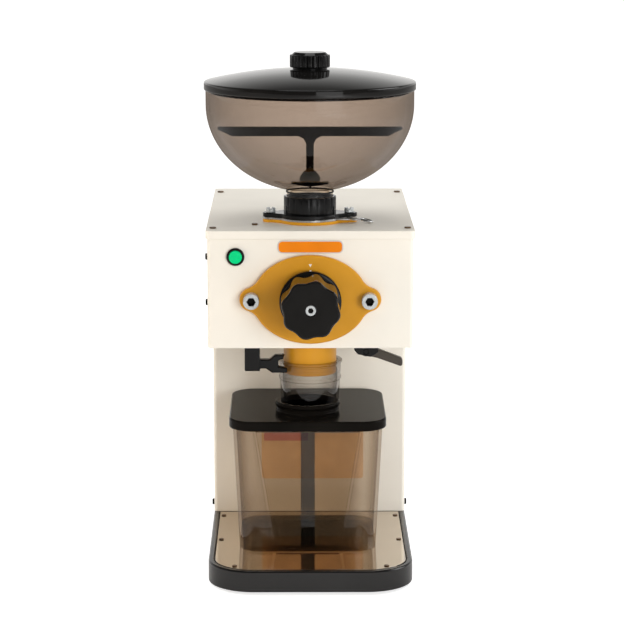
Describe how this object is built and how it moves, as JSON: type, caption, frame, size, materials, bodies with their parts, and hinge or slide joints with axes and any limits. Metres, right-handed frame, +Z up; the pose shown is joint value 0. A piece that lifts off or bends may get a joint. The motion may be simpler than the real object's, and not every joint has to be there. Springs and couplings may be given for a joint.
{
  "type": "electric coffee grinder",
  "caption": "Electric coffee grinder: smoked hopper over a flat-burr mill with an adjusting knob, motor head on a column, clear spout, knocker, clip and lidded container on a tray base.",
  "frame": {"origin": "on the floor, under the middle of the base", "axes": "+X to the right seen from the front, +Y to the back, +Z up"},
  "size_m": [0.1666, 0.3, 0.4108],
  "materials": {
    "cream_paint": "satin powder coat",
    "black_iron": "black enamel",
    "mirror_steel": "polished",
    "steel": "zinc plated",
    "dark_steel": "ground",
    "black_screw": "black oxide",
    "rubber": "matt",
    "gold_paint": "mustard-gold gloss",
    "orange_plate": "lacquered",
    "black_plastic": "gloss",
    "dark_plastic": "satin",
    "green_plastic": "gloss",
    "smoked_plastic": "clear, smoked",
    "clear_plastic": "clear",
    "iron": "laminated",
    "alloy": "die cast",
    "copper": "enamelled copper",
    "white_plastic": "satin"
  },
  "bodies": {
    "frame": {"base_frame": "black_iron", "tray_plate": "mirror_steel", "steel_screws": "steel", "rubber_feet": "rubber", "column_shell": "cream_paint", "column_back_panel": "cream_paint", "column_bolts": "steel", "black_screws": "black_screw", "head_shell": "cream_paint", "head_top_cover": "cream_paint", "head_rear_panel": "cream_paint", "name_plate": "orange_plate", "button_bezel": "black_plastic", "button_spring": "steel", "burr_housing": "gold_paint", "burr_cover": "gold_paint", "cover_bolts": "steel", "stator_core": "iron", "stator_windings": "copper", "front_end_bell": "alloy", "rear_end_bell": "alloy", "shaft_bearings": "steel", "motor_cradle": "alloy", "run_capacitor": "white_plastic", "power_inlet": "black_plastic", "hopper_bowl": "smoked_plastic", "hopper_neck": "smoked_plastic", "bean_guard": "black_plastic", "neck_ring": "rubber", "collar_nut": "black_plastic", "neck_flange": "black_plastic", "gate_guide": "steel", "inlet_neck": "gold_paint", "thumb_screws": "steel", "spout": "clear_plastic", "clip_mount": "black_plastic", "pivot_pins": "steel", "lever_bracket": "black_plastic", "lever_spring": "steel"},
    "lid": {"hopper_lid": "black_plastic", "lid_knob": "black_plastic"},
    "gate": {"bean_gate": "steel"},
    "carrier": {"burr_carrier": "alloy", "stationary_burr": "dark_steel", "fixed_burr_screws": "dark_steel"},
    "knob": {"adjust_knob": "black_plastic", "adjust_spindle": "steel", "knob_screw": "steel"},
    "button": {"power_button": "green_plastic"},
    "drive": {"motor_shaft": "steel", "rotor_core": "iron", "rotor_disc": "alloy", "rotating_burr": "dark_steel", "turning_burr_screws": "dark_steel", "feed_auger": "dark_steel", "cooling_fan": "dark_plastic"},
    "lever": {"knocker_lever": "dark_plastic"},
    "clip": {"clip_arm": "black_plastic"},
    "container": {"container_box": "smoked_plastic", "container_lid": "black_plastic"}
  },
  "joints": [
    {"name": "lid_lift", "type": "slide", "parent": "frame", "child": "lid", "axis": [0, 0, 1], "range_m": [0, 0.08]},
    {"name": "gate_slide", "type": "slide", "parent": "frame", "child": "gate", "axis": [1, 0, 0], "range_m": [0, 0.029]},
    {"name": "carrier_slide", "type": "slide", "parent": "frame", "child": "carrier", "axis": [0, 1, 0], "range_m": [-0.00052, 0.00052]},
    {"name": "knob_turn", "type": "hinge", "parent": "carrier", "child": "knob", "pos_m": [0, -0.125, 0.2235], "axis": [0, 1, 0], "range_deg": [-150, 150]},
    {"name": "button_press", "type": "slide", "parent": "frame", "child": "button", "axis": [0, 1, 0], "range_m": [0, 0.002], "stiffness_N_per_m": 400},
    {"name": "drive_spin", "type": "hinge", "parent": "frame", "child": "drive", "pos_m": [0, 0, 0.2235], "axis": [0, 1, 0], "continuous": true},
    {"name": "lever_press", "type": "hinge", "parent": "frame", "child": "lever", "pos_m": [0.044, -0.072, 0.178], "axis": [0, -1, 0], "range_deg": [0, 10], "stiffness_Nm_per_rad": 0.6, "springref_deg": -5.73},
    {"name": "clip_swing", "type": "hinge", "parent": "frame", "child": "clip", "pos_m": [-0.0457, -0.071, 0.1685], "axis": [0, 0, -1], "range_deg": [0, 70]},
    {"name": "container_pull", "type": "slide", "parent": "frame", "child": "container", "axis": [0, -1, 0], "range_m": [0, 0.16]}
  ],
  "couplings": [
    {"joint": "knob_turn", "follows": "carrier_slide", "rad_per_m": 5026.5}
  ]
}
